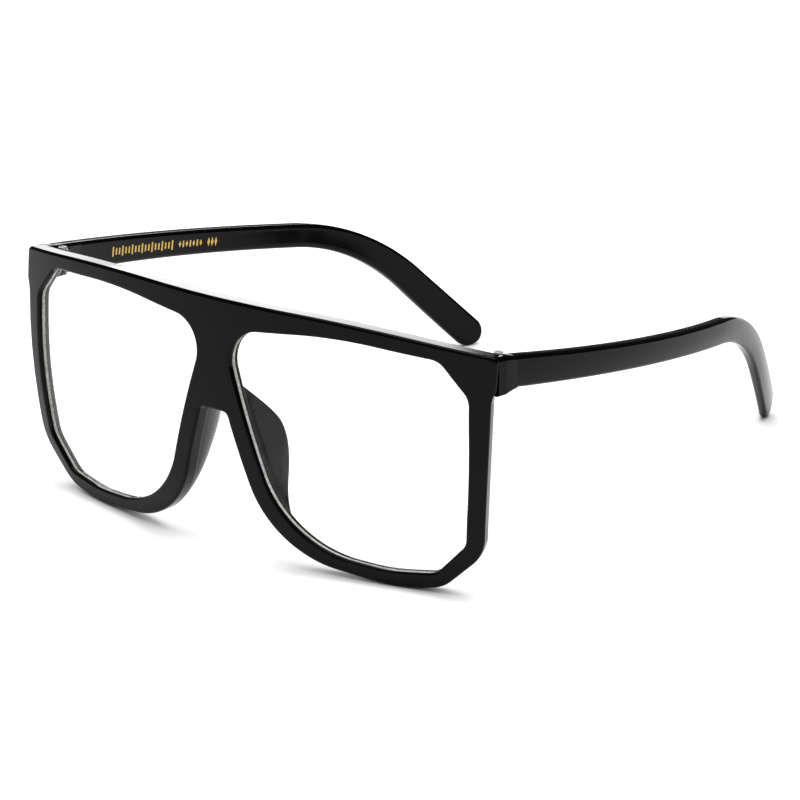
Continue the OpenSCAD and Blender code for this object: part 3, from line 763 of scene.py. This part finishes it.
def shapes():
    """The front's and the left temple's driving lines, from the settings"""
    scene = bpy.context.scene
    front = FrontShape(Sizes(scene.glasses_front))
    return front, TempleShape(Sizes(scene.glasses_temples), front)


# Operators, one for each piece or group of like pieces

class GLASSES_OT_front(bpy.types.Operator):
    """Build the front: both rims, the bridge and the endpieces, with pockets for the hinge plates"""
    bl_idname = "glasses.front"
    bl_label = "Front"

    def execute(self, context):
        front, temple = shapes()
        rings = [front.rim_ring(i) for i in range(len(front.outer))]
        points = np.array([p for ring in rings for p in ring])
        # A face that lies in the middle plane is left out, since the mirrored half joins on there
        faces = tube_faces(len(rings), len(rings[0]), True)
        faces = [f for f in faces if np.abs(points[list(f), 0]).max() > TINY]
        mirrored = points * (-1, 1, 1)
        faces += [tuple(k + len(points) for k in reversed(f)) for f in faces]
        obj = mesh_object("front_acetate", np.concatenate([points, mirrored]), faces)
        for side in SIDES.values():
            combine(obj, tube("endpiece", front.endpiece_rings(temple.s), side), "UNION")
        for side in SIDES.values():
            combine(obj, self.pocket(front, side), "DIFFERENCE")
        finish_surface(obj)
        settle(obj, "front", "frame_front", acetate())
        return {"FINISHED"}

    @staticmethod
    def pocket(front, side):
        """The room that a hinge leaf's plate takes in the back of the front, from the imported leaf"""
        middle, half = packed_plate()
        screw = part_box("hinge_screw_left")
        axis_x = (screw[0][0] + screw[1][0]) / 2 * MM
        # How far the plate's middle lies inside the hinge's axis, and how far it stands out behind
        inside, behind = 0.8, 0.1
        s, gap = front.s, front.s.pocket_gap
        angle = math.asin((axis_x - inside) / (s.bow_r - s.front_t))
        spot = Vector(front.bow(s.bow_r * math.sin(angle), middle, s.front_t + behind))
        turned = Matrix.Rotation(angle, 4, "Z")
        x, z = s.plate_l / 2 + gap, half + gap
        corners = ((-x, -z), (x, -z), (x, z), (-x, z))
        rings = [[turned @ Vector((a, y, b)) + spot for a, b in corners] for y in (-s.plate_t - gap, PROUD)]
        return tube("pocket", rings, side)


class GLASSES_OT_lenses(bpy.types.Operator):
    """Build the two clear lenses with their ground bevels"""
    bl_idname = "glasses.lenses"
    bl_label = "Lenses"

    def execute(self, context):
        front, _ = shapes()
        s = front.s
        near, far = s.lens_set, s.lens_set + s.lens_t
        tight, wide = -s.lens_gap, s.groove_d - 2 * s.lens_gap
        # Shares of the way from the lens's middle to its rim
        factors = [0.02] + [k / 10 for k in range(1, 10)]
        rings = [front.lens_ring(k, tight, far) for k in factors]
        # The rear slope of the bevel is ground next to its ridge, and polished clear beside the rim
        ridge, ground = (near + far) / 2, 0.3
        rings += [front.lens_ring(1, tight, far),
                  front.lens_ring(1, tight + (wide - tight) * ground, far + (ridge - far) * ground),
                  front.lens_ring(1, wide, ridge), front.lens_ring(1, tight, near)]
        rings += [front.lens_ring(k, tight, near) for k in reversed(factors)]
        count = len(rings[0])
        for side_name, side in SIDES.items():
            obj = tube("lens_clear_" + side_name, rings, side)
            resin = kept_material(cast_lens, "clear_lens_resin")
            settle(obj, "front", "lens_" + side_name, resin)
            obj.data.materials.append(kept_material(ground_bevel, "ground_lens_bevel"))
            for face in obj.data.polygons[(len(factors) + 1) * count:(len(factors) + 3) * count]:
                face.material_index = 1
            finish_surface(obj, 20.0)
            # Clear resin lets the light through to the bevel, the pads and the floor
            obj.visible_shadow = False
        return {"FINISHED"}


class GLASSES_OT_pads(bpy.types.Operator):
    """Build the two nose pads, cemented behind the nose sides of the rims"""
    bl_idname = "glasses.pads"
    bl_label = "Nose pads"

    # Across the pad: shares of its thickness, and of how far it stands out behind the rim
    SECTION = [(0, 0), (.04, .2), (.16, .45), (.36, .68), (.62, .86), (.86, .96), (1.05, 1),
               (1.22, .97), (1.32, .86), (1.3, .62), (1.14, .36), (1.02, .14), (1, 0)]
    # Along the pad: shares of its height from the lower end, and of its full stand-off there
    DEPTHS = [(0, .03), (.05, .16), (.15, .34), (.25, .54), (.35, .73), (.45, .89),
              (.55, .985), (.62, 1), (.7, .94), (.8, .7), (.9, .37), (1, .03)]
    STEPS = 16

    def execute(self, context):
        front, _ = shapes()
        s = Sizes(context.scene.glasses_pads)
        # The outline beside the nose, from a little under the arch down
        arc = [p for p in front.outer if p[1] < front.arch_z - 3 and p[0] < front.half_w / 2]
        arc = sorted((float(p[1]), float(p[0])) for p in arc)
        top, at, depth = front.arch_z + s.pad_rise, *zip(*self.DEPTHS)
        rings = []
        for i in range(self.STEPS + 1):
            t = 0.5 - 0.5 * math.cos(math.pi * i / self.STEPS)
            z, k = s.pad_low + (top - s.pad_low) * t, float(np.interp(t, at, depth))
            straight = z >= arc[-1][0]
            edge = front.nose_x(z, front.s.rim_nose) if straight else float(np.interp(z, *zip(*arc)))
            # The root starts inside the rounded back edge, and is thinner where the pad stands out less
            x, w = edge + front.s.back_r * 0.5, s.pad_root * (0.45 + 0.55 * k)
            rings.append([front.bow(x + a * w + s.pad_flare * k * b * 0.62, z,
                                    front.s.front_t + s.pad_gap + s.pad_d * k * b) for a, b in self.SECTION])
        grid = curve_through(curve_through(rings, 3, 0), 4, 1).tolist()
        for side_name, side in SIDES.items():
            obj = finish_surface(tube("nose_pad_acetate_" + side_name, grid, side), 60.0)
            settle(obj, "front", "nose_pad_" + side_name, acetate())
        return {"FINISHED"}


class GLASSES_OT_temples(bpy.types.Operator):
    """Build the two temples, with the channel of the core wire and the pocket of the hinge plate"""
    bl_idname = "glasses.temples"
    bl_label = "Temples"

    def execute(self, context):
        _, temple = shapes()
        s = temple.s
        for side_name, side in SIDES.items():
            obj = tube("temple_acetate_" + side_name, temple.body_rings(), side)
            combine(obj, tube("channel", temple.wire_rings(s.wire_r + s.wire_gap), side), "DIFFERENCE")
            combine(obj, tube("pocket", temple.plate_box(), side), "DIFFERENCE")
            finish_surface(obj)
            settle(obj, side_name + "_temple", "temple_" + side_name, acetate())
        return {"FINISHED"}


class GLASSES_OT_foil(bpy.types.Operator):
    """Stamp a plain gold ornament of bars and lozenges inside the wearer's right temple"""
    bl_idname = "glasses.foil"
    bl_label = "Gold ornament"

    LOZENGE = 0.36  # half a lozenge's width as a share of the pitch
    SUNK = 0.05     # how deep the hidden side of a mark lies in the plastic
    # Each group: how many marks, their heights in turn, and every how many marks one is a lozenge
    MARKS = ((19, ("tall", "low", "low"), 0), (7, ("low",), 2), (3, ("tall",), 1))

    def execute(self, context):
        _, temple = shapes()
        s = Sizes(context.scene.glasses_foil)
        at, points, faces = s.start, [], []
        for count, heights, every in self.MARKS:
            for i in range(count):
                height = getattr(s, heights[i % len(heights)])
                self.mark(temple, s, at, height, every > 0 and i % every == 0, points, faces)
                at += s.pitch
            at += s.gap
        obj = mesh_object("gold_ornament_right", points, faces, -1)
        clean(obj)
        obj.data.materials.append(kept_material(hot_foil, "gold_hot_foil", s.gold))
        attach(obj, "right_temple")
        return {"FINISHED"}

    @classmethod
    def mark(cls, temple, s, at, height, lozenge, points, faces):
        """One upright bar or one lozenge, as a thin plate on the inner face"""
        middle, slope = temple.line(at)
        along, up = temple.heading(slope), temple.upright(slope)
        w, h = s.pitch * cls.LOZENGE if lozenge else s.width / 2, height / 2
        corners = [(-w, 0), (0, -h), (w, 0), (0, h)] if lozenge else [(-w, -h), (w, -h), (w, h), (-w, h)]
        first = len(points)
        for lift in (-cls.SUNK, s.lift):
            for a, b in corners:
                y, z = middle + a * along + b * up
                points.append((temple.outer_x(y) - temple.s.temple_t - lift, y, z))
        for face in [(3, 2, 1, 0), (4, 5, 6, 7)] + tube_faces(2, 4):
            faces.append(tuple(first + k for k in face))


class GLASSES_OT_metal(bpy.types.Operator):
    """Give the hinge leaves, screws and core wires their metal finishes"""
    bl_idname = "glasses.metal"
    bl_label = "Hinges and core wires"

    FINISHES = {
        "hinge_front_leaf": (lacquered_leaf, "nickel_silver_lacquered"),
        "hinge_temple_leaf": (lacquered_leaf, "nickel_silver_lacquered"),
        "hinge_screw": (turned_steel, "stainless_steel_turned"),
        "core_wire": (drawn_brass, "brass_wire_drawn"),
    }

    def execute(self, context):
        for node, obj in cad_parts.items():
            finish = self.FINISHES.get(node.rsplit("_", 1)[0])
            if finish:
                for slot in obj.material_slots:
                    slot.material = kept_material(*finish)
        return {"FINISHED"}


class GLASSES_OT_stage(bpy.types.Operator):
    """Lay the white floor and set the soft lamps and the camera"""
    bl_idname = "glasses.stage"
    bl_label = "Studio"

    FLOOR = 6000.0  # half the floor's width, in millimetres

    def execute(self, context):
        s, scene = Sizes(context.scene.glasses_stage), context.scene
        corners = [(x * self.FLOOR, y * self.FLOOR, 0) for x, y in ((-1, -1), (1, -1), (1, 1), (-1, 1))]
        floor = mesh_object("floor", corners, [(0, 1, 2, 3)])
        # The paper's lift is taken away near the glasses, a painted contact shadow
        floor.data.materials.append(paper_sweep("paper_sweep", s.floor, s.lift, s.touch / MM))
        world = scene.world = bpy.data.worlds.new("soft_room")
        world.use_nodes = True
        sky = world.node_tree.nodes["Background"]
        sky.inputs[0].default_value, sky.inputs[1].default_value = linear("#ffffff"), s.world
        self.lamp("top_lamp", "SUN", s.top, (-0.1, 0.08, 1.0), angle=s.top_spread)
        # The fill stands for light from the whole room, whose black drapes are what the plastic mirrors
        fill = self.lamp("fill_lamp", "SUN", s.fill, (-0.05, 0.04, 1.0), angle=s.fill_spread)
        fill.visible_glossy = False
        self.camera(scene, s)
        # Two lamps stand behind, round a point on the brow
        brow, far = Vector((0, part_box("frame_front")[0][1], 0.06)), s.lamp_far / MM
        for name, power, azimuth, elevation, width, height in (
                ("back_lamp", s.back, s.back_azimuth, s.back_elevation, 0.4, 0.36),
                ("low_lamp", s.low, s.low_azimuth, s.low_elevation, 0.3, 0.27)):
            place = brow + self.towards(azimuth, elevation) * far
            self.lamp(name, "AREA", power, place, shape="RECTANGLE", size=width, size_y=height)
        scene.view_settings.view_transform = "Standard"
        return {"FINISHED"}

    @staticmethod
    def towards(azimuth, elevation):
        """A direction from its azimuth, counted from straight in front, and its elevation"""
        level_part = math.cos(elevation)
        return Vector((math.sin(azimuth) * level_part, -math.cos(azimuth) * level_part, math.sin(elevation)))

    @staticmethod
    def lamp(name, kind, energy, place, **settings):
        """A soft lamp at a place, which faces the middle of the glasses"""
        light = bpy.data.lights.new(name, kind)
        light.energy = energy
        for key, value in settings.items():
            setattr(light, key, value)
        obj = bpy.data.objects.new(name, light)
        obj.location = place
        obj.rotation_euler = Vector(place).to_track_quat("Z", "Y").to_euler()
        bpy.context.scene.collection.objects.link(obj)
        return obj

    @classmethod
    def camera(cls, scene, s):
        """The camera, aimed at a point behind the front"""
        back = cls.towards(s.azimuth, s.elevation)
        right = Vector((math.cos(s.azimuth), math.sin(s.azimuth), 0))
        aim = Matrix((right, back.cross(right), back)).transposed().to_4x4()
        target = Vector((s.target_x, s.target_y, s.target_z)) / MM
        target.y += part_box("frame_front")[0][1]
        data = bpy.data.cameras.new("camera")
        data.lens, data.sensor_width, data.clip_end = s.lens, 36.0, 100.0
        obj = bpy.data.objects.new("camera", data)
        place = Matrix.Translation(target + back * s.distance / MM)
        obj.matrix_world = place @ aim @ Matrix.Rotation(s.roll, 4, "Z")
        scene.collection.objects.link(obj)
        scene.camera = obj


GROUPS = {
    "glasses_front": FrontSettings,
    "glasses_pads": PadSettings,
    "glasses_temples": TempleSettings,
    "glasses_foil": FoilSettings,
    "glasses_stage": StageSettings,
}
STEPS = (GLASSES_OT_front, GLASSES_OT_lenses, GLASSES_OT_pads, GLASSES_OT_temples, GLASSES_OT_foil,
         GLASSES_OT_metal, GLASSES_OT_stage)


class GLASSES_PT_panel(bpy.types.Panel):
    """Lists the pieces of the glasses with their settings"""
    bl_idname = "GLASSES_PT_panel"
    bl_label = "Glasses"
    bl_space_type = "VIEW_3D"
    bl_region_type = "UI"
    bl_category = "Glasses"

    def draw(self, context):
        for operator in STEPS:
            box, group = self.layout.box(), operator.bl_idname.replace(".", "_")
            box.operator(operator.bl_idname)
            if group in GROUPS:
                for key in GROUPS[group].__annotations__:
                    box.prop(getattr(context.scene, group), key)


def register():
    for cls in (*GROUPS.values(), *STEPS, GLASSES_PT_panel):
        bpy.utils.register_class(cls)
    for name, cls in GROUPS.items():
        setattr(bpy.types.Scene, name, PointerProperty(type=cls))


def unregister():
    for name in GROUPS:
        delattr(bpy.types.Scene, name)
    for cls in reversed((*GROUPS.values(), *STEPS, GLASSES_PT_panel)):
        bpy.utils.unregister_class(cls)


def main():
    """Registers the add-on and builds everything"""
    register()
    for operator in STEPS:
        group, name = operator.bl_idname.split(".")
        getattr(getattr(bpy.ops, group), name)()


if __name__ == "__main__":
    main()
